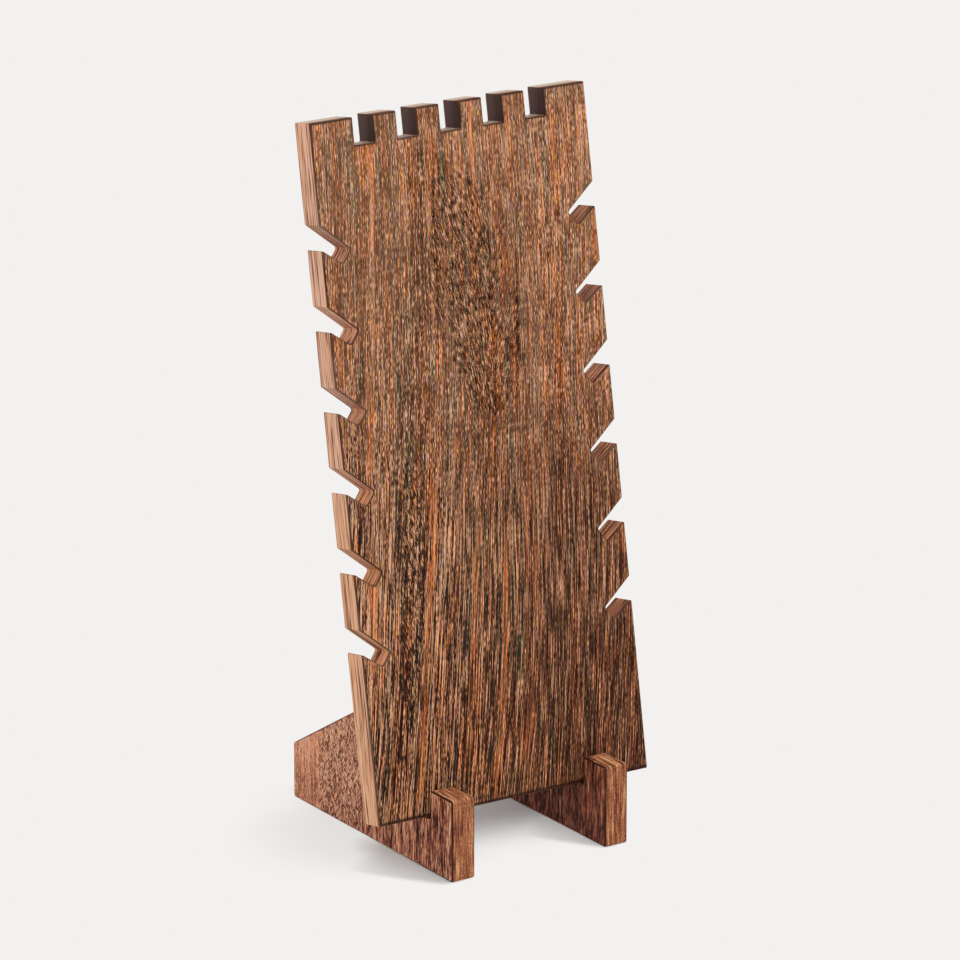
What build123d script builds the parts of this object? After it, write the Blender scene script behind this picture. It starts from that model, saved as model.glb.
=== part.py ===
from build123d import *
from math import cos, radians, sin, tan
import os

# A wooden stand for necklaces and bracelets. One notched board leans back in two slotted feet.
# Millimetres, +Z up, front towards -Y. The origin is on the table, midway between the feet
# and halfway along them.

# Display panel: one board, leaning back
panel_w = 164.9
panel_h = 360.0
panel_t = 15.0
lean = 10.0
panel_corner_r = 0.6
panel_bevel = 0.5

# Slots in the top edge, which leave a row of teeth
slot_count = 5
slot_w = 11.8
slot_pitch = 25.7
slot_depth = 14.5
slot_root_r = 1.0

# Slanted notches in both side edges. They fall towards the middle of the board.
notch_count = 6
notch_pitch = 41.3
lowest_notch_h = 101.9
notch_mouth = 12.4
notch_depth = 16.8
notch_end_w = 8.7
notch_roof_slope = 39.7
notch_slope = 38.0
notch_root_r = 1.4

# Feet: two equal boards on edge, square to the panel
foot_t = 14.0
foot_l = 154.0
foot_spacing = 93.8
foot_corner_r = 1.5
foot_arris_r = 1.2
seat_root_r = 0.5

# Front post and seat of a foot. The lip gap is the free space in front of the panel.
post_d = 20.5
post_h = 43.8
seat_h = 26.0
lip_gap = 3.0

# Rear brace of a foot. It carries the back of the panel.
brace_rear_h = 30.2
brace_slope = 30.0

# Places that follow from the sizes
lean_sin = sin(radians(lean))
lean_cos = cos(radians(lean))
foot_front = -foot_l / 2
foot_rear = foot_l / 2
post_rear = foot_front + post_d
heel_y = post_rear + lip_gap
heel_z = seat_h + panel_t * lean_sin
seat_rear_y = heel_y + panel_t * lean_cos
seat_front_z = heel_z + lip_gap * tan(radians(lean))

# The lean of the seat's rear wall meets the slope of the brace at the tip
wall_run = tan(radians(lean))
brace_rise = tan(radians(brace_slope))
tip_z = (brace_rear_h + (foot_rear - seat_rear_y + seat_h * wall_run) * brace_rise) / (
    1 + wall_run * brace_rise
)
tip_y = seat_rear_y + (tip_z - seat_h) * wall_run

# Working plane of the panel's front face, with its origin at the middle of the bottom edge
panel_plane = Plane(
    origin=(0, heel_y, heel_z),
    x_dir=(1, 0, 0),
    z_dir=(0, -lean_cos, lean_sin),
)

# Notch outline, from the upper corner of its mouth. The roof and the floor run past the edge.
overrun = notch_mouth / 2
roof_fall = tan(radians(notch_roof_slope))
root_x = notch_depth
root_y = -notch_depth * roof_fall
end_x = root_x - notch_end_w * sin(radians(notch_slope))
end_y = root_y - notch_end_w * cos(radians(notch_slope))
floor_fall = -(end_y + notch_mouth) / end_x
notch_outline = [
    (-overrun, overrun * roof_fall),
    (root_x, root_y),
    (end_x, end_y),
    (-overrun, -notch_mouth + overrun * floor_fall),
]

with BuildSketch() as notch:
    with BuildLine():
        FilletPolyline(*notch_outline, radius=[0, notch_root_r, notch_root_r, 0], close=True)
    make_face()

# Slot outline, from the middle of the panel's top edge. It runs past the edge.
with BuildSketch() as slot:
    Rectangle(slot_w, 2 * slot_depth)
    fillet(slot.vertices().group_by(Axis.Y)[0], slot_root_r)

with BuildPart() as display_panel:
    with BuildSketch(panel_plane) as outline:
        Rectangle(panel_w, panel_h, align=(Align.CENTER, Align.MIN))
        with Locations((0, panel_h)):
            with GridLocations(slot_pitch, 0, slot_count, 1):
                add(slot.sketch, mode=Mode.SUBTRACT)
        for step in range(notch_count):
            mouth_h = lowest_notch_h + step * notch_pitch
            with Locations((-panel_w / 2, mouth_h)):
                add(notch.sketch, mode=Mode.SUBTRACT)
            with Locations((panel_w / 2, mouth_h)):
                add(mirror(notch.sketch, about=Plane.YZ, mode=Mode.PRIVATE), mode=Mode.SUBTRACT)
        rim = outline.vertices().filter_by(
            lambda v: abs(abs(v.X) - panel_w / 2) < 0.01 or v.Y > panel_h - 0.01
        )
        fillet(rim, panel_corner_r)
    extrude(amount=-panel_t)
    across = Axis(panel_plane.origin, panel_plane.z_dir)
    broad_faces = display_panel.faces().filter_by(across).sort_by(SortBy.AREA)[-2:]
    chamfer(broad_faces.edges(), panel_bevel)

display_panel.part.label = "display_panel"


# Side outline of a foot, from the front bottom corner round to the rear. Each corner has its radius.
foot_outline = [
    ((foot_front, 0), foot_corner_r),
    ((foot_front, post_h), foot_corner_r),
    ((post_rear, post_h), foot_corner_r),
    ((post_rear, seat_front_z), seat_root_r),
    ((seat_rear_y, seat_h), seat_root_r),
    ((tip_y, tip_z), foot_corner_r),
    ((foot_rear, brace_rear_h), foot_corner_r),
    ((foot_rear, 0), foot_corner_r),
]


def make_foot(centre_x):
    with BuildPart() as foot:
        with BuildSketch(Plane.YZ.offset(centre_x)):
            with BuildLine():
                FilletPolyline(
                    *[corner for corner, radius in foot_outline],
                    radius=[radius for corner, radius in foot_outline],
                    close=True,
                )
            make_face()
        extrude(amount=foot_t / 2, both=True)
        sides = foot.faces().filter_by(Axis.X).sort_by(SortBy.AREA)[-2:]
        fillet(sides.edges(), foot_arris_r)
    return foot.part


left_foot = make_foot(-foot_spacing / 2)
left_foot.label = "left_foot"

right_foot = make_foot(foot_spacing / 2)
right_foot.label = "right_foot"

os.makedirs("parts", exist_ok=True)
export_step(display_panel.part, "parts/display_panel.step")
export_step(left_foot, "parts/left_foot.step")
export_step(right_foot, "parts/right_foot.step")
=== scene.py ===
from math import cos, radians, sin

import bpy
from mathutils import Matrix, Vector

# A wooden stand for necklaces and bracelets on a pale floor. Metres, +Z up, front towards -Y.
# The wood is a solid pattern, worked out in millimetres along and across the grain of each board.

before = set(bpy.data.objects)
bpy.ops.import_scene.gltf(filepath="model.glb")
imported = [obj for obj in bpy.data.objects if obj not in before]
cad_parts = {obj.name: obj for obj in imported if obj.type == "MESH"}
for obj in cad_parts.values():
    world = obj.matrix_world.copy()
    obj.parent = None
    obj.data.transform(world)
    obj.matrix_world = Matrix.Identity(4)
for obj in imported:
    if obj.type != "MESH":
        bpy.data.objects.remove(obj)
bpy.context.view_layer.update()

# Millimetres in a metre
MM = 1000.0

# Sizes of the stand that the patterns follow, in millimetres. The lean is in degrees.
PANEL_LEAN = 10.0
PANEL_W = 164.9
PANEL_H = 360.0
HEEL_Y = -53.5
HEEL_Z = 28.605
SLOT_COUNT = 5
SLOT_W = 11.8
SLOT_PITCH = 25.7
SLOT_DEPTH = 14.5
FOOT_SPACING = 93.8
FOOT_T = 14.0
FOOT_FRONT = -77.0
POST_D = 20.5
POST_REAR = FOOT_FRONT + POST_D
SLOT_BOTTOM = PANEL_H - SLOT_DEPTH

# Camera: angles in degrees, lens and sensor in millimetres, the rest in metres
CAMERA_AZIMUTH = -33.086
CAMERA_ELEVATION = 17.216
CAMERA_DISTANCE = 3.3718
CAMERA_AIM = Vector((0.01477, 0.0024, 0.18230))
CAMERA_LENS = 245.48
CAMERA_REACH = 100.0
SENSOR = 36.0

# Light
SKY_COLOR = (1, 1, 1, 1)
SKY_STRENGTH = 0.86
SUN_STRENGTH = 0.55
SUN_ANGLE = 70.0
SUN_FROM = Vector((0.36, -0.62, 0.90))

# Floor, in metres
FLOOR_COLOR = (0.838, 0.888, 0.902, 1.0)
FLOOR_SIZE = 60.0

# Finish of the wood. The height of its relief is in metres.
SPECULAR = 0.08
BUMP_STRENGTH = 0.5
BUMP_HEIGHT = 0.0002
PANEL_ROUGHNESS = 0.45
SLOT_ROUGHNESS = 0.6
FOOT_ROUGHNESS = 0.55

# Places of the colour sockets of a mix node
MIX_FIRST = 6
MIX_SECOND = 7
MIX_RESULT = 2


def srgb(red, green, blue):
    """The linear colour that a shader takes for a colour on screen, which is given as 0 to 255."""
    out = []
    for value in (red, green, blue):
        value /= 255
        out.append(value / 12.92 if value <= 0.04045 else ((value + 0.055) / 1.055) ** 2.4)
    return (*out, 1.0)


BACKDROP_COLOR = srgb(243, 241, 239)


class Graph:
    """The nodes of a material or of the world, written as sums."""

    def __init__(self, owner):
        self.owner = owner
        owner.use_nodes = True
        self.tree = owner.node_tree
        self.tree.nodes.clear()

    def node(self, kind, **settings):
        made = self.tree.nodes.new(kind)
        for key, value in settings.items():
            setattr(made, key, value)
        return made

    def put(self, socket, value):
        if isinstance(value, bpy.types.NodeSocket):
            self.tree.links.new(value, socket)
        else:
            socket.default_value = value

    def math(self, operation, *values):
        made = self.node("ShaderNodeMath", operation=operation)
        for socket, value in zip(made.inputs, values):
            self.put(socket, value)
        return made.outputs[0]

    def add(self, first, second):
        return self.math("ADD", first, second)

    def sub(self, first, second):
        return self.math("SUBTRACT", first, second)

    def mul(self, first, second):
        return self.math("MULTIPLY", first, second)

    def mad(self, value, factor, offset):
        """value times factor, plus offset."""
        return self.math("MULTIPLY_ADD", value, factor, offset)

    def least(self, first, second):
        return self.math("MINIMUM", first, second)

    def most(self, first, second):
        return self.math("MAXIMUM", first, second)

    def unsigned(self, value):
        return self.math("ABSOLUTE", value)

    def rest(self, share):
        """What share leaves of 1."""
        return self.sub(1.0, share)

    def total(self, *terms):
        """The sum of (weight, value) pairs."""
        result = 0.0
        for weight, value in terms:
            result = self.mad(value, weight, result)
        return result

    def blend(self, factor, first, second):
        """first where factor is 0, second where it is 1."""
        return self.mad(factor, self.sub(second, first), first)

    def step(self, value, low, high):
        """0 below low and 1 above high, smooth between them. low may be the higher one."""
        made = self.node("ShaderNodeMapRange", interpolation_type="SMOOTHSTEP", clamp=False)
        self.put(made.inputs["Value"], value)
        self.put(made.inputs["From Min"], low)
        self.put(made.inputs["From Max"], high)
        return made.outputs["Result"]

    def vector(self, x, y, z):
        made = self.node("ShaderNodeCombineXYZ")
        for socket, value in zip(made.inputs, (x, y, z)):
            self.put(socket, value)
        return made.outputs[0]

    def split(self, value):
        made = self.node("ShaderNodeSeparateXYZ")
        self.put(made.inputs[0], value)
        return made.outputs

    def in_mm(self, place, location=(0, 0, 0), rotation=(0, 0, 0)):
        """x, y and z of the object in millimetres, turned by rotation, then moved by location."""
        local = self.node("ShaderNodeMapping")
        self.put(local.inputs["Vector"], place.outputs["Object"])
        local.inputs["Location"].default_value = location
        local.inputs["Rotation"].default_value = rotation
        local.inputs["Scale"].default_value = (MM, MM, MM)
        return self.split(local.outputs[0])

    def noise(self, vector):
        made = self.node("ShaderNodeTexNoise", noise_dimensions="3D")
        self.put(made.inputs["Vector"], vector)
        self.put(made.inputs["Scale"], 1.0)
        self.put(made.inputs["Detail"], 0.0)
        return made.outputs["Fac"]

    def oval(self, x, y, centre, half, skew=0.0):
        """1 inside an oval and 0 outside it, soft between. skew leans it as y rises."""
        dy = self.sub(y, centre[1])
        dx = self.sub(self.mad(dy, -skew, x), centre[0])
        dx = self.mul(dx, 1 / half[0])
        dy = self.mul(dy, 1 / half[1])
        return self.step(self.add(self.mul(dx, dx), self.mul(dy, dy)), 1.3, 0.5)

    def crisp(self, value):
        """The same blobs with sharp borders, -0.5 in the dark ones and 0.5 in the bright ones."""
        return self.sub(self.step(value, -0.07, 0.07), 0.5)

    def zigzag(self, value, period):
        """From -0.5 to 0.5 and back in straight runs, once in a period."""
        return self.sub(self.math("PINGPONG", self.mul(value, 2 / period), 1.0), 0.5)

    def ramp(self, value, stops):
        made = self.node("ShaderNodeValToRGB")
        self.put(made.inputs[0], value)
        elements = made.color_ramp.elements
        while len(elements) < len(stops):
            elements.new(0.5)
        for element, (place, color) in zip(elements, stops):
            element.position = place
            element.color = color
        return made.outputs[0]

    def mix(self, factor, first, second, blend="MIX"):
        made = self.node("ShaderNodeMix", data_type="RGBA", blend_type=blend)
        self.put(made.inputs[0], factor)
        self.put(made.inputs[MIX_FIRST], first)
        self.put(made.inputs[MIX_SECOND], second)
        return made.outputs[MIX_RESULT]

    def dye(self, share, color, hue):
        """The colour multiplied by the hue, as far as share goes."""
        return self.mix(share, color, hue, "MULTIPLY")

    def seen(self):
        """1 for the rays that show the picture's background, 0 for those that carry its light."""
        ray = self.node("ShaderNodeLightPath").outputs
        mirrored = self.most(ray["Is Glossy Ray"], ray["Is Transmission Ray"])
        return self.most(ray["Is Camera Ray"], mirrored)


class Wood(Graph):
    """The nodes of a board's wood.

    waves has the width, the length and the seed of each wave. grain has the places across, deep in
    and along the board. It is set before the first wave.
    """

    def __init__(self, name, waves, seed=0.0):
        super().__init__(bpy.data.materials.new(name))
        self.waves = waves
        self.seed = seed
        self.grain = {}
        self.place = self.node("ShaderNodeTexCoord")

    def wave(self, name, **places):
        """Noise about 0, shaped as waves says. It follows the grain, or the places given here."""
        pitch, length, seed = self.waves[name]
        at = {**self.grain, **places}
        across = self.mul(at["across"], 1 / pitch)
        deep = self.mul(at["deep"], 1 / pitch)
        along = self.mad(at["along"], 1 / length, self.seed + seed)
        return self.sub(self.noise(self.vector(across, deep, along)), 0.5)

    def tint(self, color, warmer, bluer=0.0):
        """The colour turned to orange where warmer is above 0, and to olive where it is below."""
        blue = self.add(self.mad(self.most(warmer, -0.12), -0.47, 1.0), bluer)
        hue = self.vector(self.mad(warmer, 0.36, 1.0), self.mad(warmer, -0.06, 1.0), blue)
        return self.dye(1.0, color, hue)

    def finish(self, color, height, roughness):
        bsdf = self.node("ShaderNodeBsdfPrincipled")
        self.put(bsdf.inputs["Base Color"], color)
        self.put(bsdf.inputs["Roughness"], roughness)
        bsdf.inputs["Specular IOR Level"].default_value = SPECULAR
        bump = self.node("ShaderNodeBump")
        bump.inputs["Strength"].default_value = BUMP_STRENGTH
        bump.inputs["Distance"].default_value = BUMP_HEIGHT
        self.put(bump.inputs["Height"], height)
        self.put(bsdf.inputs["Normal"], bump.outputs[0])
        out = self.node("ShaderNodeOutputMaterial")
        self.put(out.inputs["Surface"], bsdf.outputs[0])
        return self.owner


# Tones of the oiled wood. A tone is its brightness on screen divided by 200.
PANEL_TONES = [
    (0.07, srgb(32, 13, 6)),
    (0.20, srgb(68, 38, 25)),
    (0.30, srgb(89, 56, 39)),
    (0.40, srgb(112, 74, 53)),
    (0.50, srgb(137, 92, 66)),
    (0.60, srgb(161, 109, 80)),
    (0.70, srgb(187, 128, 95)),
    (0.83, srgb(213, 152, 115)),
    (0.97, srgb(236, 184, 148)),
]
FOOT_TONES = [
    (0.07, srgb(36, 12, 10)),
    (0.20, srgb(76, 37, 31)),
    (0.30, srgb(98, 53, 44)),
    (0.40, srgb(124, 71, 56)),
    (0.50, srgb(149, 89, 68)),
    (0.60, srgb(170, 108, 81)),
    (0.70, srgb(190, 128, 97)),
    (0.83, srgb(213, 152, 116)),
    (0.97, srgb(236, 184, 150)),
]

# Colours of single features of the panel. Walls and tops have a darker and a lighter one; the
# lighter one of the tooth tops is partly painted sheen.
PANEL_RIM = srgb(46, 24, 18)
RIM_STRENGTH = 0.86
CHAR = srgb(46, 43, 36)
OLIVE = srgb(92, 80, 62)
SLOT_WALL = (srgb(72, 43, 37), srgb(95, 67, 60))
TOOTH_TOP_AND_SHEEN = (srgb(140, 96, 74), srgb(206, 182, 162))

# Hues that the colour of the panel is multiplied by
LOW_HUE = (1.03, 0.94, 0.88, 1.0)
BOTTOM_HUE = (1.02, 0.95, 0.90, 1.0)
UPPER_HUE = (1.02, 0.985, 0.985, 1.0)
STREAK_HUE = (1.04, 0.74, 0.48, 1.0)
LOWER_EDGE_HUE = (1.02, 0.985, 0.95, 1.0)
UPPER_EDGE_HUE = (1.0, 1.02, 1.14, 1.0)
NOTCH_END_HUE = (1.08, 0.98, 0.84, 1.0)

# Zones of the panel in millimetres: where each begins to show, and where it is complete.
# Those from LOW to HEAD go by the height, and the others by the place across.
LOW = (225.0, 125.0)
DEEP = (262.0, 150.0)
BOTTOM = (110.0, 40.0)
MIDDLE = (320.0, 285.0)
OLIVE_HEIGHT = (205.0, 265.0)
RIGHT_HEIGHT = (200.0, 260.0)
UPPER_EDGE = (130.0, 230.0)
HEAD = (SLOT_BOTTOM - 1.0, SLOT_BOTTOM - 0.5)
LEFT = (-8.0, -36.0)
RIGHT = (15.0, 45.0)
OLIVE_SIDE = (-14.0, -40.0)
INSIDE = (75.0, 73.0)
NOTCH_SIDE = (80.0, 78.5)

# Rims of the panel, in the same way: by the depth, the height, the place across, and for the slots
# by the distance from the middle of the slot, the height and the distance from the panel's middle
FRONT_RIM = (1.3, 0.7)
TOP_RIM = (PANEL_H - 1.5, PANEL_H - 0.7)
BOTTOM_RIM = (2.3, 1.2)
LEFT_RIM = (-PANEL_W / 2 + 0.9, -PANEL_W / 2 + 0.5)
SLOT_RIM = (SLOT_W / 2 + 1.5, SLOT_W / 2)
SLOT_RIM_HEIGHT = (SLOT_BOTTOM - 1.2, SLOT_BOTTOM - 0.1)
SLOT_RIM_END = (SLOT_PITCH * SLOT_COUNT / 2, SLOT_PITCH * SLOT_COUNT / 2 - 0.2)

# Ovals of the panel: middle, half sizes and skew. The border of the crown strays to both sides.
CROWN = ((5.0, 262.0), (25.0, 72.0), -0.12)
CROWN_STRAY = 26.0
KNOT = ((-49.0, 120.0), (8.0, 75.0), 0.13)

# The grain leans to the right as it rises: the lean at the bottom, its change for each millimetre
# of height, and the share of it that is lost towards the right, between two places across
GRAIN_LEAN = 0.2
GRAIN_BEND = -0.0002
LEAN_CHANGE = -0.25
LEAN_CHANGE_FROM = 0.0
LEAN_CHANGE_TO = 50.0

# The dashes of the crown lean away from this line, and those on its right have their own pattern
CROWN_LINE = -21.0
CROWN_LEAN = 0.24
PATTERN_SHIFT = 300.0

# Waves of the panel: width and length of the blobs in millimetres, and seed
PANEL_WAVES = {
    "drift": (45.0, 150.0, 1.0),
    "sway": (6.0, 28.0, 2.0),
    "fibre": (1.2, 45.0, 3.0),
    "thread": (0.5, 32.0, 4.0),
    "fine": (0.42, 10.0, 5.0),
    "wide band": (7.0, 260.0, 6.0),
    "band": (2.6, 90.0, 7.0),
    "finest": (0.32, 2.6, 8.0),
    "dash": (0.75, 4.0, 9.0),
    "short dash": (0.45, 2.2, 10.0),
    "crown patch": (2.5, 14.0, 11.0),
    "pocket": (1.6, 13.0, 12.0),
    "grit": (0.4, 0.9, 13.0),
    "streak side": (0.8, 12.0, 14.0),
    "warm band": (1.4, 50.0, 15.0),
    "warm line": (0.6, 22.0, 16.0),
    "line": (1.4, 60.0, 17.0),
    "thin line": (0.72, 42.0, 18.0),
    "thinnest line": (0.42, 30.0, 19.0),
    "wide ring": (1.6, 60.0, 21.0),
    "ring": (0.8, 30.0, 22.0),
    "thin ring": (0.42, 14.0, 23.0),
    "warm patch": (6.0, 150.0, 24.0),
    "bright thread": (0.55, 26.0, 26.0),
    "short line": (0.38, 16.0, 27.0),
    "scar": (1.5, 5.0, 28.0),
    "crown border": (5.0, 40.0, 31.0),
    "char": (1.6, 60.0, 32.0),
    "lens": (2.6, 6.0, 34.0),
    "blue fleck": (0.9, 5.0, 35.0),
    "warm fleck": (0.9, 6.0, 36.0),
    "streak end": (4.0, 60.0, 37.0),
}

# Borders of the streaks: where they are none and full, in half widths at their sides and in
# millimetres outside and inside of their ends, how far the waves move both, and how far an orange
# streak calms the figure
STREAK_NONE = 1.25
STREAK_FULL = 0.55
STREAK_OUTSIDE = 12.0
STREAK_INSIDE = 8.0
SIDE_STRAY = 0.8
END_STRAY = 24.0
STREAK_CALM = 0.3

# Streaks of the panel's face: (place across, height there), half width, lowest and highest end,
# tone, and how orange it is
STREAKS = (
    ((-49.4, 342.0), 1.5, 235.0, 352.0, 0.15, 0.2),
    ((11.6, 340.0), 1.2, 318.0, 362.0, 0.20, 0.2),
    ((75.6, 322.0), 1.5, 300.0, 345.0, 0.16, 0.1),
    ((-63.5, 210.0), 3.0, 185.0, 232.0, 0.20, 0.6),
    ((-74.0, 108.0), 2.8, 82.0, 135.0, 0.22, 0.8),
    ((-38.0, 120.0), 2.2, 10.0, 165.0, 0.24, 0.8),
    ((-14.5, 90.0), 2.2, 15.0, 135.0, 0.20, 0.7),
    ((3.2, 90.0), 1.8, 5.0, 130.0, 0.18, 0.7),
    ((16.3, 90.0), 0.9, 20.0, 150.0, 0.16, 0.6),
    ((21.2, 90.0), 0.8, 25.0, 170.0, 0.14, 0.6),
    # The dark row under the second slot is partly a dark band of the grain and partly painted
    # shadow of a cord that hangs from the slot.
    ((-26.0, 290.0), 6.5, 240.0, 338.0, -0.11, 0.0),
    ((-40.0, 230.0), 4.5, 205.0, 255.0, -0.08, 0.0),
    ((-65.0, 222.0), 4.5, 205.0, 242.0, -0.08, 0.0),
    ((-13.5, 265.0), 3.5, 235.0, 300.0, 0.08, 0.0),
    ((6.0, 190.0), 11.0, 168.0, 212.0, -0.06, 0.0),
    ((50.0, 205.0), 8.0, 162.0, 250.0, -0.06, 0.0),
    ((-14.0, 150.0), 8.0, 125.0, 178.0, 0.06, 0.0),
    ((31.0, 92.0), 6.0, 55.0, 125.0, -0.07, 0.0),
    ((10.0, 25.0), 4.0, 10.0, 42.0, 0.08, 0.3),
    ((-78.5, 170.0), 4.0, 128.0, 212.0, -0.12, 0.0),
    ((-22.5, 80.0), 4.0, 50.0, 108.0, -0.09, 0.0),
    ((-6.0, 85.0), 4.0, 45.0, 115.0, -0.09, 0.0),
    ((25.5, 30.0), 4.0, 15.0, 48.0, -0.08, 0.0),
    ((-58.0, 45.0), 6.0, 25.0, 75.0, -0.08, 0.0),
    ((-62.5, 208.0), 4.0, 192.0, 222.0, -0.08, 0.0),
    ((28.0, 215.0), 6.0, 190.0, 240.0, -0.03, 0.0),
    ((18.0, 328.0), 5.0, 312.0, 340.0, -0.06, 0.0),
    ((57.0, 298.0), 5.0, 280.0, 325.0, -0.05, 0.0),
    ((-7.5, 145.0), 3.0, 105.0, 178.0, 0.08, 0.0),
    ((15.0, 280.0), 0.9, 232.0, 292.0, -0.16, 0.0),
    ((31.5, 287.0), 0.9, 228.0, 300.0, -0.18, 0.0),
    ((-16.5, 280.0), 0.9, 240.0, 330.0, -0.14, 0.0),
    ((-64.0, 50.0), 9.0, 25.0, 78.0, -0.08, 0.0),
    ((-70.5, 237.0), 3.5, 222.0, 252.0, -0.08, 0.0),
    ((-34.0, 212.0), 7.0, 195.0, 232.0, -0.06, 0.0),
    ((26.0, 230.0), 8.0, 210.0, 250.0, -0.05, 0.0),
    ((30.0, 318.0), 12.0, 302.0, 340.0, -0.05, 0.0),
    ((-5.0, 240.0), 6.0, 225.0, 262.0, 0.05, 0.0),
    ((3.0, 320.0), 4.0, 300.0, 350.0, 0.06, 0.0),
    ((-15.0, 102.0), 3.5, 90.0, 120.0, -0.08, 0.0),
    ((2.0, 110.0), 7.0, 102.0, 118.0, 0.07, 0.0),
    ((-14.5, 12.0), 3.5, 0.0, 25.0, -0.08, 0.0),
    ((5.0, 28.0), 5.0, 14.0, 42.0, 0.06, 0.0),
    ((-19.0, 65.0), 4.0, 55.0, 78.0, -0.06, 0.0),
)


def grain_shift(u, w):
    """How far the panel's grain at the place u has moved to the right at the height w."""
    ease = min(max((u - LEAN_CHANGE_FROM) / (LEAN_CHANGE_TO - LEAN_CHANGE_FROM), 0.0), 1.0)
    change = LEAN_CHANGE * ease * ease * (3.0 - 2.0 * ease)
    return w * (GRAIN_LEAN + GRAIN_BEND * w) * (1.0 + change)


class PanelWood(Wood):
    """The panel's wood. u is the place across the board, t the depth in it and w the height."""

    def __init__(self):
        super().__init__("panel_wood", PANEL_WAVES)
        lean = radians(PANEL_LEAN)
        heel = (
            0,
            -(HEEL_Y * cos(lean) - HEEL_Z * sin(lean)),
            -(HEEL_Y * sin(lean) + HEEL_Z * cos(lean)),
        )
        self.u, self.t, self.w = self.in_mm(self.place, heel, (lean, 0, 0))
        turned = self.node("ShaderNodeMapping", vector_type="NORMAL")
        self.put(turned.inputs["Vector"], self.place.outputs["Normal"])
        turned.inputs["Rotation"].default_value = (lean, 0, 0)
        self.normal_u, self.normal_t, self.normal_w = self.split(turned.outputs[0])

        # The same as grain_shift
        shift = self.mul(self.w, self.mad(self.w, GRAIN_BEND, GRAIN_LEAN))
        change = self.step(self.u, LEAN_CHANGE_FROM, LEAN_CHANGE_TO)
        shift = self.mul(shift, self.mad(change, LEAN_CHANGE, 1.0))
        self.straight = self.sub(self.u, shift)
        self.grain = {"across": self.straight, "deep": self.t, "along": self.w}
        self.grain["across"] = self.total(
            (1.0, self.straight),
            (7.0, self.wave("drift")),
            (1.0, self.wave("sway")),
        )

    def find_zones(self):
        """The parts of the panel that differ. Each is 1 inside and 0 outside."""
        self.low = self.step(self.w, *LOW)
        self.left = self.step(self.u, *LEFT)
        self.low_left = self.mul(self.low, self.left)
        border = self.wave("crown border", across=self.u, deep=0.0)
        self.crown = self.oval(self.mad(border, CROWN_STRAY, self.u), self.w, *CROWN)
        self.olive = self.mul(self.step(self.u, *OLIVE_SIDE), self.step(self.w, *OLIVE_HEIGHT))
        self.knot = self.oval(self.u, self.w, *KNOT)
        self.broken = self.most(
            self.crown,
            self.most(self.mul(self.knot, 0.6), self.mul(self.olive, 0.2)),
        )

    def fibres(self):
        """The fine grain above, and the lines that take its place in the low zone."""
        fine = self.wave("fine")
        finest = self.wave("finest")
        self.threads = self.step(self.wave("thread"), 0.03, 0.13)
        fibres = self.total(
            (0.33, self.wave("fibre")),
            (0.21, self.threads),
            (0.14, self.step(self.wave("bright thread"), -0.12, -0.04)),
            (1.00, fine),
            (1.25, finest),
            (-0.145, 1.0),
        )
        lines = self.total(
            (self.mad(self.left, 0.22, 0.30), self.wave("line")),
            (0.24, self.crisp(self.wave("thin line"))),
            (0.26, self.crisp(self.wave("thinnest line"))),
            (1.05, self.wave("short line")),
            (0.85, finest),
        )
        return self.blend(self.low, fibres, lines)

    def dashes(self):
        """The short dashes of the crown, which lean away from its middle line as they rise."""
        self.beyond = self.math("GREATER_THAN", self.straight, CROWN_LINE)
        aside = self.unsigned(self.add(self.straight, -CROWN_LINE))
        leaning = self.sub(aside, self.mul(self.w, CROWN_LEAN))
        rising = self.mad(self.beyond, PATTERN_SHIFT, self.w)
        self.dash_grain = {"across": leaning, "along": rising}
        return self.total(
            (1.10, self.wave("dash", **self.dash_grain)),
            (0.85, self.wave("short dash", **self.dash_grain)),
            (0.60, self.wave("grit", across=self.u)),
            (0.45, self.wave("crown patch")),
        )

    def figure(self):
        """The light and dark of the grain, about 0."""
        bands = self.total(
            (0.30, self.wave("wide band")),
            (0.18, self.wave("band")),
        )
        fibres = self.fibres()
        dashes = self.dashes()
        self.right = self.step(self.u, *RIGHT)
        bands = self.mul(bands, self.mad(self.low_left, 0.34, 0.66))
        bands = self.mul(bands, self.mad(self.broken, -0.2, 1.0))
        figure = self.add(bands, self.blend(self.broken, fibres, dashes))
        deep = self.step(self.w, *DEEP)
        gain = self.total(
            (0.60, self.low_left),
            (0.26, deep),
            (self.mul(deep, -0.22), self.right),
            (0.06, 1.0),
        )
        figure = self.mul(figure, self.add(gain, 1.0))
        # Above, the ground is even and the flecks on it are few
        self.upper = self.rest(self.most(self.low, self.crown))
        even = self.mad(self.step(self.unsigned(figure), 0.02, 0.16), 0.57, -0.50)
        figure = self.mul(figure, self.mad(self.upper, even, 1.0))
        return self.mad(self.mul(figure, figure), self.add(self.upper, 0.5), figure)

    def pockets(self):
        """The dark spots: pores everywhere, lenses in the knot and scars in the crown."""
        pores = self.step(self.wave("pocket"), 0.10, 0.18)
        pockets = self.mul(pores, self.mad(self.low_left, 0.20, 0.06))
        lenses = self.step(self.wave("lens"), 0.06, 0.13)
        pockets = self.mad(lenses, self.mul(self.knot, 0.26), pockets)
        scars = self.step(self.wave("scar", **self.dash_grain), 0.07, 0.13)
        return self.mad(scars, self.mul(self.crown, self.mad(self.beyond, -0.12, 0.17)), pockets)

    def mean(self):
        """The tone of each zone without its figure."""
        middle = self.step(self.w, *MIDDLE)
        self.bottom = self.step(self.w, *BOTTOM)
        return self.total(
            (-0.045, middle),
            (-0.107, self.low),
            (0.044, self.low_left),
            (-0.095, self.bottom),
            (self.mul(self.right, 0.006), self.step(self.w, *RIGHT_HEIGHT)),
            (-0.030, self.crown),
            (1.0, 0.512),
        )

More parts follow.
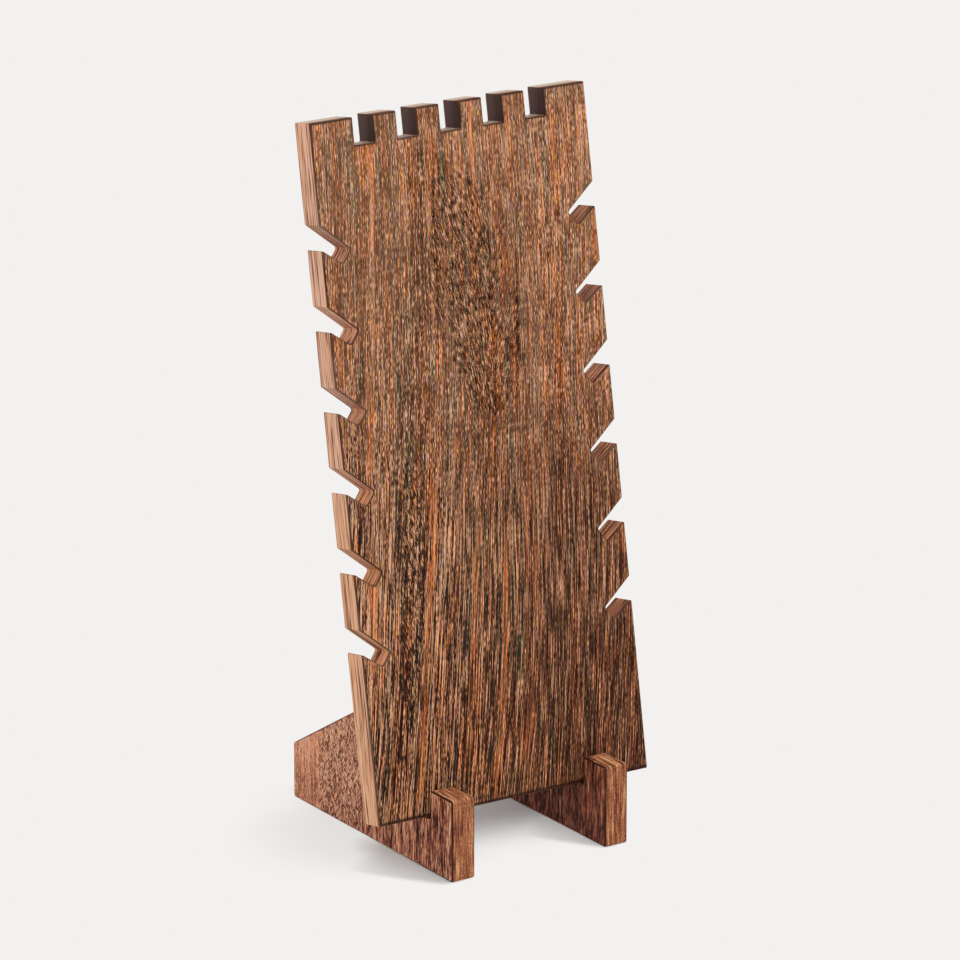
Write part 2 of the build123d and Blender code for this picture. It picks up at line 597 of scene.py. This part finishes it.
    def streaks(self):
        """What the streaks add to the tone, how far they calm the figure, and their orange."""
        ragged_side = self.wave("streak side")
        fleck = self.mad(ragged_side, 1.6, 1.0)
        border = self.mad(ragged_side, SIDE_STRAY, self.grain["across"])
        frayed = self.mad(self.wave("streak end"), END_STRAY, self.w)
        tone = 0.0
        calm = 0.0
        warmth = 0.0
        for (place_u, place_w), half, bottom_w, top_w, amount, orange in STREAKS:
            centre = place_u - grain_shift(place_u, place_w)
            away = self.unsigned(self.sub(border, centre))
            above = self.step(frayed, bottom_w - STREAK_OUTSIDE, bottom_w + STREAK_INSIDE)
            below = self.step(frayed, top_w + STREAK_OUTSIDE, top_w - STREAK_INSIDE)
            ends = self.mul(above, below)
            within = self.step(away, half * STREAK_NONE, half * STREAK_FULL)
            strength = self.mul(self.mul(within, ends), fleck)
            tone = self.mad(strength, amount, tone)
            if orange:
                calm = self.mad(strength, STREAK_CALM, calm)
                warmth = self.mad(strength, orange, warmth)
        return tone, calm, warmth

    def find_sides(self):
        """The surfaces of the board, told apart by their normals. Each is 1 there, 0 elsewhere."""
        self.face = self.step(self.unsigned(self.normal_t), 0.80, 0.90)
        self.arris = self.step(self.unsigned(self.normal_t), 0.2, 0.4)
        self.arris = self.mul(self.arris, self.rest(self.face))
        inside = self.step(self.unsigned(self.u), *INSIDE)
        head = self.step(self.w, *HEAD)
        sideways = self.step(self.unsigned(self.normal_u), 0.6, 0.8)
        self.slot_wall = self.mul(self.mul(sideways, inside), head)
        self.upward = self.mul(self.step(self.normal_w, 0.6, 0.85), head)
        self.ledge = self.mul(self.step(self.normal_w, 0.68, 0.76), self.rest(head))
        self.roof = self.mul(self.step(self.normal_w, -0.5, -0.7), self.rest(head))
        sideways = self.step(self.unsigned(self.normal_u), 0.6, 0.75)
        self.notch_end = self.mul(sideways, self.step(self.unsigned(self.u), *NOTCH_SIDE))
        self.notch_end = self.mul(self.notch_end, self.rest(head))

    def edge_tone(self, rings):
        """The cut edges show the rings as stripes that run along them."""
        tone = self.mad(rings, 2.1, 0.89)
        tone = self.blend(self.roof, tone, self.mad(rings, 1.5, 0.71))
        tone = self.blend(self.ledge, tone, self.mad(rings, 1.8, 0.60))
        return self.blend(self.notch_end, tone, self.mad(rings, 4.2, 0.99))

    def wood_color(self, tone, warmth):
        """The colour of a tone. It varies along the grain and from zone to zone."""
        color = self.ramp(tone, PANEL_TONES)
        hue = self.total(
            (1.9, self.wave("warm band")),
            (2.2, self.wave("warm line")),
            (1.3, self.wave("warm patch")),
            (0.9, self.mul(self.wave("warm fleck"), self.rest(self.low))),
            (0.38, self.mul(self.threads, self.rest(self.low))),
            (-0.12, 1.0),
        )
        bright = self.step(tone, 0.42, 0.66)
        dark_hue = self.mad(hue, 1.8, self.mul(self.step(tone, 0.48, 0.25), 0.3))
        hue = self.blend(bright, dark_hue, self.most(hue, -0.25))
        bluer = self.mul(self.wave("blue fleck"), self.mul(self.face, 1.3))
        hue = self.mul(hue, self.mad(self.mul(self.right, self.low), -0.35, 1.0))
        color = self.tint(color, self.mul(hue, self.mad(self.face, 0.8, 0.2)), bluer)

        charred = self.step(self.wave("char"), 0.0, 0.10)
        charred = self.mul(charred, self.step(tone, 0.46, 0.26))
        low_face = self.mul(self.low, self.face)
        charred = self.mul(charred, self.mul(low_face, self.mad(self.right, -0.55, 0.7)))
        color = self.mix(charred, color, CHAR)
        color = self.dye(low_face, color, LOW_HUE)
        color = self.dye(self.mul(self.bottom, self.face), color, BOTTOM_HUE)
        color = self.dye(self.mul(warmth, self.face), color, STREAK_HUE)
        green = self.mul(self.mul(self.olive, self.face), self.step(tone, 0.62, 0.40))
        color = self.mix(self.mul(green, 0.2), color, OLIVE)
        return self.dye(self.mul(self.upper, self.face), color, UPPER_HUE)

    def edge_color(self, color, rings):
        """The colour with that of the cut edges, the slot walls and the tops of the teeth, whose
        pale rear is partly painted sheen.
        """
        edge_hue = self.mix(self.step(self.w, *UPPER_EDGE), LOWER_EDGE_HUE, UPPER_EDGE_HUE)
        color = self.dye(self.rest(self.face), color, edge_hue)
        color = self.dye(self.notch_end, color, NOTCH_END_HUE)
        wall = self.mix(self.step(self.mad(rings, 10.0, self.t), 3.0, 10.0), *SLOT_WALL)
        color = self.mix(self.slot_wall, color, wall)
        # The tooth tops go from brown at the front to pale at the rear, partly painted sheen.
        top = self.mix(self.step(self.mad(rings, 8.0, self.t), 1.5, 8.0), *TOOTH_TOP_AND_SHEEN)
        return self.mix(self.upward, color, top)

    def rims(self):
        """The dark lines where the face meets the edges."""
        front = self.mul(self.step(self.t, *FRONT_RIM), self.rest(self.face))
        top = self.mul(self.step(self.w, *TOP_RIM), self.face)
        bottom = self.mul(self.step(self.w, *BOTTOM_RIM), self.face)
        left = self.mul(self.step(self.u, *LEFT_RIM), self.face)
        centred = self.unsigned(self.math("WRAP", self.u, SLOT_PITCH / 2, -SLOT_PITCH / 2))
        slot = self.step(centred, *SLOT_RIM)
        slot = self.mul(slot, self.step(self.w, *SLOT_RIM_HEIGHT))
        slot = self.mul(slot, self.face)
        slot = self.mul(slot, self.step(self.unsigned(self.u), *SLOT_RIM_END))
        rim = self.most(self.most(self.arris, front), self.most(top, left))
        return self.most(self.most(rim, bottom), self.mul(slot, 0.85))


def panel_wood():
    """Each step of this uses what the steps before it have found."""
    g = PanelWood()
    g.find_zones()
    figure = g.figure()
    pockets = g.pockets()
    mean = g.mean()
    streaks, calm, warmth = g.streaks()
    figure = g.mul(g.sub(figure, pockets), g.rest(calm))
    tone = g.add(g.add(mean, figure), streaks)

    slanting = {"across": g.t, "deep": 0.0, "along": g.add(g.w, g.u)}
    rings = g.total(
        (0.55, g.wave("wide ring", **slanting)),
        (0.60, g.wave("ring", **slanting)),
        (0.60, g.wave("thin ring", **slanting)),
    )
    g.find_sides()
    tone = g.blend(g.face, g.edge_tone(rings), tone)
    color = g.edge_color(g.wood_color(tone, warmth), rings)
    color = g.mix(g.mul(g.rims(), RIM_STRENGTH), color, PANEL_RIM)
    return g.finish(color, tone, g.blend(g.slot_wall, SLOT_ROUGHNESS, PANEL_ROUGHNESS))


# Waves of the feet: width and length of the blobs in millimetres, and seed
FOOT_WAVES = {
    "wide ring": (2.2, 40.0, 0.0),
    "ring": (0.9, 20.0, 1.0),
    "thin ring": (0.45, 9.0, 2.0),
    "ring dash": (0.35, 2.6, 3.0),
    "wide fleck": (5.0, 60.0, 4.0),
    "long fleck": (1.1, 12.0, 5.0),
    "fleck": (0.6, 7.0, 6.0),
    "short fleck": (0.4, 2.2, 7.0),
    "row bend": (8.0, 14.0, 8.0),
    "scale cluster": (1.6, 4.0, 9.0),
    "scale back": (0.55, 3.1, 10.0),
    "scale patch": (9.0, 12.0, 11.0),
    "tail band": (3.2, 160.0, 12.0),
    "tail line": (1.0, 30.0, 13.0),
    "tail fleck": (0.5, 5.0, 14.0),
    "warm band": (1.4, 14.0, 15.0),
    "warm fleck": (0.7, 5.0, 16.0),
    "scale grit": (0.35, 0.9, 17.0),
    "tail grit": (0.35, 1.5, 18.0),
    "scale forward": (0.55, 3.1, 19.0),
}

# Scales of the left foot: the width of a pair of rows, how far they lean, and their strongest tone
SCALE_PERIOD = 3.8
SCALE_LEAN = 0.55
SCALE_LIMIT = 0.22

# Zones of the feet in millimetres: where each begins to show, and where it is complete.
# Those from NOSE to TAIL go by the place y from front to rear, and the others by the height z.
NOSE = (FOOT_FRONT + 8.0, FOOT_FRONT + 3.0)
NOSE_CORNER = (FOOT_FRONT + 3.6, FOOT_FRONT + 2.4)
POST = (POST_REAR + 4.0, POST_REAR + 2.0)
REAR = (-60.0, -50.0)
UNDER_PANEL = (-47.0, -30.0)
SEAT_SHADE_PLACE = (-20.0, -25.0)
BEHIND = (9.5, 11.0)
LIGHT_REAR = (43.0, 56.0)
TAIL = (46.0, 64.0)
NOSE_TOP = (17.0, 23.0)
RISE_WITH_SHADE = (8.0, 34.0)
SEAT_SHADE_HEIGHT = (32.0, 30.0)

# Colours of the feet's rims and of the painted shade in their seats by the post, and hues that the
# colour is multiplied by
FOOT_RIM = srgb(50, 25, 18)
SEAT_SHADE = srgb(40, 20, 15)
LIGHT_REAR_HUE = (1.0, 0.955, 0.95, 1.0)
END_HUE = (1.02, 0.98, 0.78, 1.0)

# What the two feet differ in. The rear of the left one is covered with scales. The right one is
# painted darker, and less red at its rear, as painted shade of the panel and the left foot.
LEFT_FOOT = {
    "seed": 20.0,
    "scaly": 1.0,
    "mean": 0.53,
    "gain": 1.25,
    "nose_tone": 0.17,
    "front_hue": (1.0, 0.91, 0.88, 1.0),
    "rear_hue_and_shade": (1.0, 0.91, 0.88, 1.0),
}
RIGHT_FOOT_WITH_PAINTED_SHADE = {
    "seed": 60.0,
    "scaly": 0.0,
    "mean": 0.34,
    "gain": 0.8,
    "nose_tone": 0.08,
    "front_hue": (1.0, 0.92, 0.85, 1.0),
    "rear_hue_and_shade": (0.97, 1.03, 1.0, 1.0),
}


def foot_scales(g, y, z):
    """Short dashes that lean forward and back in turn."""
    bent = g.mad(g.wave("row bend"), 9.0, y)
    turn = g.step(g.zigzag(bent, SCALE_PERIOD), -0.12, 0.12)
    back = g.wave("scale back", across=g.mad(z, SCALE_LEAN, y))
    forward = g.wave("scale forward", across=g.mad(z, -SCALE_LEAN, y))
    scales = g.total(
        (0.60, g.wave("scale cluster")),
        (2.00, g.blend(turn, back, forward)),
        (0.60, g.wave("scale grit")),
    )
    scales = g.most(g.least(scales, SCALE_LIMIT), -SCALE_LIMIT)
    return g.mad(g.wave("scale patch"), 0.12, scales)


def foot_wood(name, centre_x, seed, scaly, mean, gain, nose_tone, front_hue, rear_hue_and_shade):
    g = Wood(name, FOOT_WAVES, seed)
    x, y, z = g.in_mm(g.place, (-centre_x, 0, 0))
    normal_x, normal_y, normal_z = g.split(g.place.outputs["Normal"])
    sideways = g.unsigned(normal_x)
    ahead = g.unsigned(normal_y)

    # The rings lie along the broad sides, so they show as fine stripes on the ends and the top
    run = g.add(z, y)
    g.grain = {"across": x, "deep": 0.0, "along": run}
    rings = g.total(
        (0.60, g.wave("wide ring")),
        (0.70, g.wave("ring")),
        (0.80, g.wave("thin ring")),
        (0.60, g.wave("ring dash", deep=g.mul(run, 0.3))),
    )
    g.grain = {"across": y, "deep": x, "along": z}
    flecks = g.total(
        (0.45, g.wave("wide fleck")),
        (0.85, g.wave("long fleck")),
        (1.00, g.wave("fleck")),
        (0.80, g.wave("short fleck")),
    )
    scales = foot_scales(g, y, z)
    tail_bands = g.total(
        (0.60, g.wave("tail band", deep=0.0)),
        (0.50, g.wave("tail line")),
        (0.60, g.wave("tail fleck")),
        (0.60, g.wave("tail grit")),
    )
    behind = g.mul(g.step(y, *BEHIND), scaly)
    tail = g.mul(g.step(y, *TAIL), scaly)
    broad = g.mul(flecks, gain)
    broad = g.blend(behind, broad, g.blend(tail, g.mul(scales, 1.7), g.mul(tail_bands, 2.0)))
    nose = g.step(y, *NOSE)
    nose = g.mad(g.mul(g.step(y, *NOSE_CORNER), g.step(z, *NOSE_TOP)), 1.0, nose)
    # The scaly rear of the left foot is lighter higher up: partly its grain, and partly painted
    # shade that is darker near the floor.
    rise_with_shade = g.mul(g.step(z, *RISE_WITH_SHADE), 0.11)
    light_rear = g.mul(g.step(y, *LIGHT_REAR), scaly)
    under = g.mul(g.step(y, *UNDER_PANEL), scaly)
    broad = g.total(
        (0.05, under),
        (-0.01, behind),
        (rise_with_shade, behind),
        (0.16, light_rear),
        (nose_tone, nose),
        (1.0, g.add(mean, broad)),
    )
    side = g.step(sideways, 0.93, 0.99)
    end = g.step(ahead, 0.6, 0.9)
    arris = g.mul(g.step(sideways, 0.15, 0.45), g.rest(side))
    end_tone = g.mad(rings, g.mad(end, -0.45, 1.35), g.mad(end, -0.05, 0.58))
    tone = g.blend(side, end_tone, broad)

    color = g.ramp(tone, FOOT_TONES)
    warmer = g.total(
        (1.7, g.wave("warm band")),
        (1.4, g.wave("warm fleck")),
    )
    color = g.tint(color, g.mul(warmer, g.mul(side, 0.55)))
    # On the right foot the rear hue is painted shade: it turns the colour less red where the panel
    # and the left foot shade it.
    color = g.dye(side, color, g.mix(g.step(y, *REAR), front_hue, rear_hue_and_shade))
    color = g.dye(g.mul(light_rear, side), color, LIGHT_REAR_HUE)
    color = g.dye(g.rest(side), color, END_HUE)
    post = g.step(y, *POST)
    color = g.mix(g.mul(arris, g.mad(post, 0.50, 0.45)), color, FOOT_RIM)
    # The low upward faces at the front, where the panel stands in the seat, are painted dark:
    # painted shade in the gap between the panel and the post.
    seat_shade = g.mul(g.step(normal_z, 0.6, 0.9), g.step(z, *SEAT_SHADE_HEIGHT))
    seat_shade = g.mul(seat_shade, g.step(y, *SEAT_SHADE_PLACE))
    color = g.mix(g.mul(seat_shade, 0.9), color, SEAT_SHADE)
    return g.finish(color, tone, FOOT_ROUGHNESS)


def dress(node, material):
    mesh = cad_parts[node].data
    mesh.materials.clear()
    mesh.materials.append(material)


dress("display_panel", panel_wood())
dress("left_foot", foot_wood("left_foot_wood", -FOOT_SPACING / 2, **LEFT_FOOT))
dress("right_foot", foot_wood("right_foot_wood", FOOT_SPACING / 2, **RIGHT_FOOT_WITH_PAINTED_SHADE))

# Shade on the floor, in millimetres: how much wider that of a foot gets for each millimetre to
# the rear, its greatest width, the two places between which it ends, and its strength. That of the
# left foot reaches less far to the rear, and fades there.
SHADE_SPREAD = 0.72
SHADE_WIDTH = 40.0
SHADE_END = (105.0, 50.0)
LEFT_REACH_CHANGE = -1.5
LEFT_REACH_MIDDLE = 3.0
LEFT_REACH_LEAST = 30.0
RIGHT_REACH = 46.3
LEFT_FADE = (-20.0, 16.0)
LEFT_REAR_SHADE = 0.23
RIGHT_SHADE = 0.78

# The soft shade around the left foot: how far its middle is to the left and to the rear, its half
# sizes and its strength
HALO_LEFT = 40.0
HALO_REAR = 9.8
HALO_HALF_X = 80.7
HALO_HALF_Y = 67.8
HALO_SHADE = 0.32

# The shade under the panel: the slant of its front border, from none to full, and its rear end
UNDER_SLANT = 0.175
UNDER_FRONT = (-62.9, 4.7)
UNDER_END = (100.0, 60.0)


def foot_shade(g, x, y, outer, shift, soft, reach):
    """The shade of a foot on the floor at its left, from its front corner to the rear.

    outer is the left side of the foot and shift the width of the shade at the corner. soft is half
    the width of its border, and away from the foot it fades to nothing at reach.
    """
    away = g.sub(outer, x)
    edge = g.least(g.mad(g.sub(y, FOOT_FRONT), SHADE_SPREAD, shift), SHADE_WIDTH)
    near = g.step(g.sub(away, edge), soft, -soft)
    near = g.mul(near, g.step(away, reach, 0.0))
    near = g.mul(near, g.step(y, FOOT_FRONT - 2.0, FOOT_FRONT + 2.0))
    return g.mul(g.mul(near, g.step(away, -FOOT_T, 0.0)), g.step(y, *SHADE_END))


def floor_shade(g, x, y):
    """How far the floor is in the shade of the stand, 0 to 1."""
    half = (FOOT_SPACING + FOOT_T) / 2
    reach = g.most(g.mad(y, LEFT_REACH_CHANGE, LEFT_REACH_MIDDLE), LEFT_REACH_LEAST)
    left = foot_shade(g, x, y, -half, shift=4.1, soft=4.3, reach=reach)
    left = g.mul(left, g.blend(g.step(y, *LEFT_FADE), 1.0, LEFT_REAR_SHADE))
    right = foot_shade(g, x, y, half - FOOT_T, shift=-0.8, soft=5.0, reach=RIGHT_REACH)
    right = g.mul(right, RIGHT_SHADE)
    halo_x = g.mul(g.add(x, HALO_LEFT), 1 / HALO_HALF_X)
    halo_y = g.mul(g.sub(y, HALO_REAR), 1 / HALO_HALF_Y)
    halo = g.step(g.add(g.mul(halo_x, halo_x), g.mul(halo_y, halo_y)), 1.3, 0.2)
    halo = g.mul(halo, HALO_SHADE)
    under = g.step(g.mad(x, UNDER_SLANT, y), *UNDER_FRONT)
    inside = g.mul(g.step(x, half + 3.0, half - 3.0), g.step(x, -half, -half + 6.0))
    under = g.mul(under, inside)
    under = g.mul(under, g.step(y, *UNDER_END))
    return g.most(g.most(left, halo), g.most(right, under))


def pale_floor():
    """Lit by the lamps where the stand shades it, and plain towards the backdrop."""
    bpy.ops.mesh.primitive_plane_add(size=FLOOR_SIZE, location=(0, 0, 0))
    floor = bpy.context.object
    floor.name = "floor"
    g = Graph(bpy.data.materials.new("floor"))
    x, y = g.in_mm(g.node("ShaderNodeTexCoord"))[:2]
    shade = floor_shade(g, x, y)
    lit = g.node("ShaderNodeBsdfDiffuse")
    lit.inputs["Color"].default_value = FLOOR_COLOR
    plain = g.node("ShaderNodeEmission")
    plain.inputs["Color"].default_value = BACKDROP_COLOR
    mixed = g.node("ShaderNodeMixShader")
    g.put(mixed.inputs[0], g.mul(g.seen(), g.rest(shade)))
    g.put(mixed.inputs[1], lit.outputs[0])
    g.put(mixed.inputs[2], plain.outputs[0])
    out = g.node("ShaderNodeOutputMaterial")
    g.put(out.inputs["Surface"], mixed.outputs[0])
    floor.data.materials.append(g.owner)


def soft_light():
    g = Graph(bpy.data.worlds.new("sky"))
    sky = g.node("ShaderNodeBackground")
    sky.inputs["Color"].default_value = SKY_COLOR
    sky.inputs["Strength"].default_value = SKY_STRENGTH
    backdrop = g.node("ShaderNodeBackground")
    backdrop.inputs["Color"].default_value = BACKDROP_COLOR
    mixed = g.node("ShaderNodeMixShader")
    g.put(mixed.inputs[0], g.seen())
    g.put(mixed.inputs[1], sky.outputs[0])
    g.put(mixed.inputs[2], backdrop.outputs[0])
    out = g.node("ShaderNodeOutputWorld")
    g.put(out.inputs["Surface"], mixed.outputs[0])
    bpy.context.scene.world = g.owner
    lamp = bpy.data.lights.new("sun", "SUN")
    lamp.energy = SUN_STRENGTH
    lamp.angle = radians(SUN_ANGLE)
    sun = bpy.data.objects.new("sun", lamp)
    sun.rotation_euler = SUN_FROM.to_track_quat("Z", "Y").to_euler()
    bpy.context.scene.collection.objects.link(sun)


def set_camera():
    azimuth = radians(CAMERA_AZIMUTH)
    elevation = radians(CAMERA_ELEVATION)
    right = Vector((cos(azimuth), sin(azimuth), 0))
    ahead = Vector((
        -sin(azimuth) * cos(elevation),
        cos(azimuth) * cos(elevation),
        -sin(elevation),
    ))
    up = right.cross(ahead)
    turn = Matrix((right, up, -ahead)).transposed()
    data = bpy.data.cameras.new("camera")
    data.lens = CAMERA_LENS
    data.sensor_width = SENSOR
    data.clip_end = CAMERA_REACH
    camera = bpy.data.objects.new("camera", data)
    camera.matrix_world = Matrix.Translation(CAMERA_AIM - ahead * CAMERA_DISTANCE) @ turn.to_4x4()
    bpy.context.scene.collection.objects.link(camera)
    bpy.context.scene.camera = camera


pale_floor()
soft_light()
set_camera()
bpy.context.scene.view_settings.view_transform = "Standard"
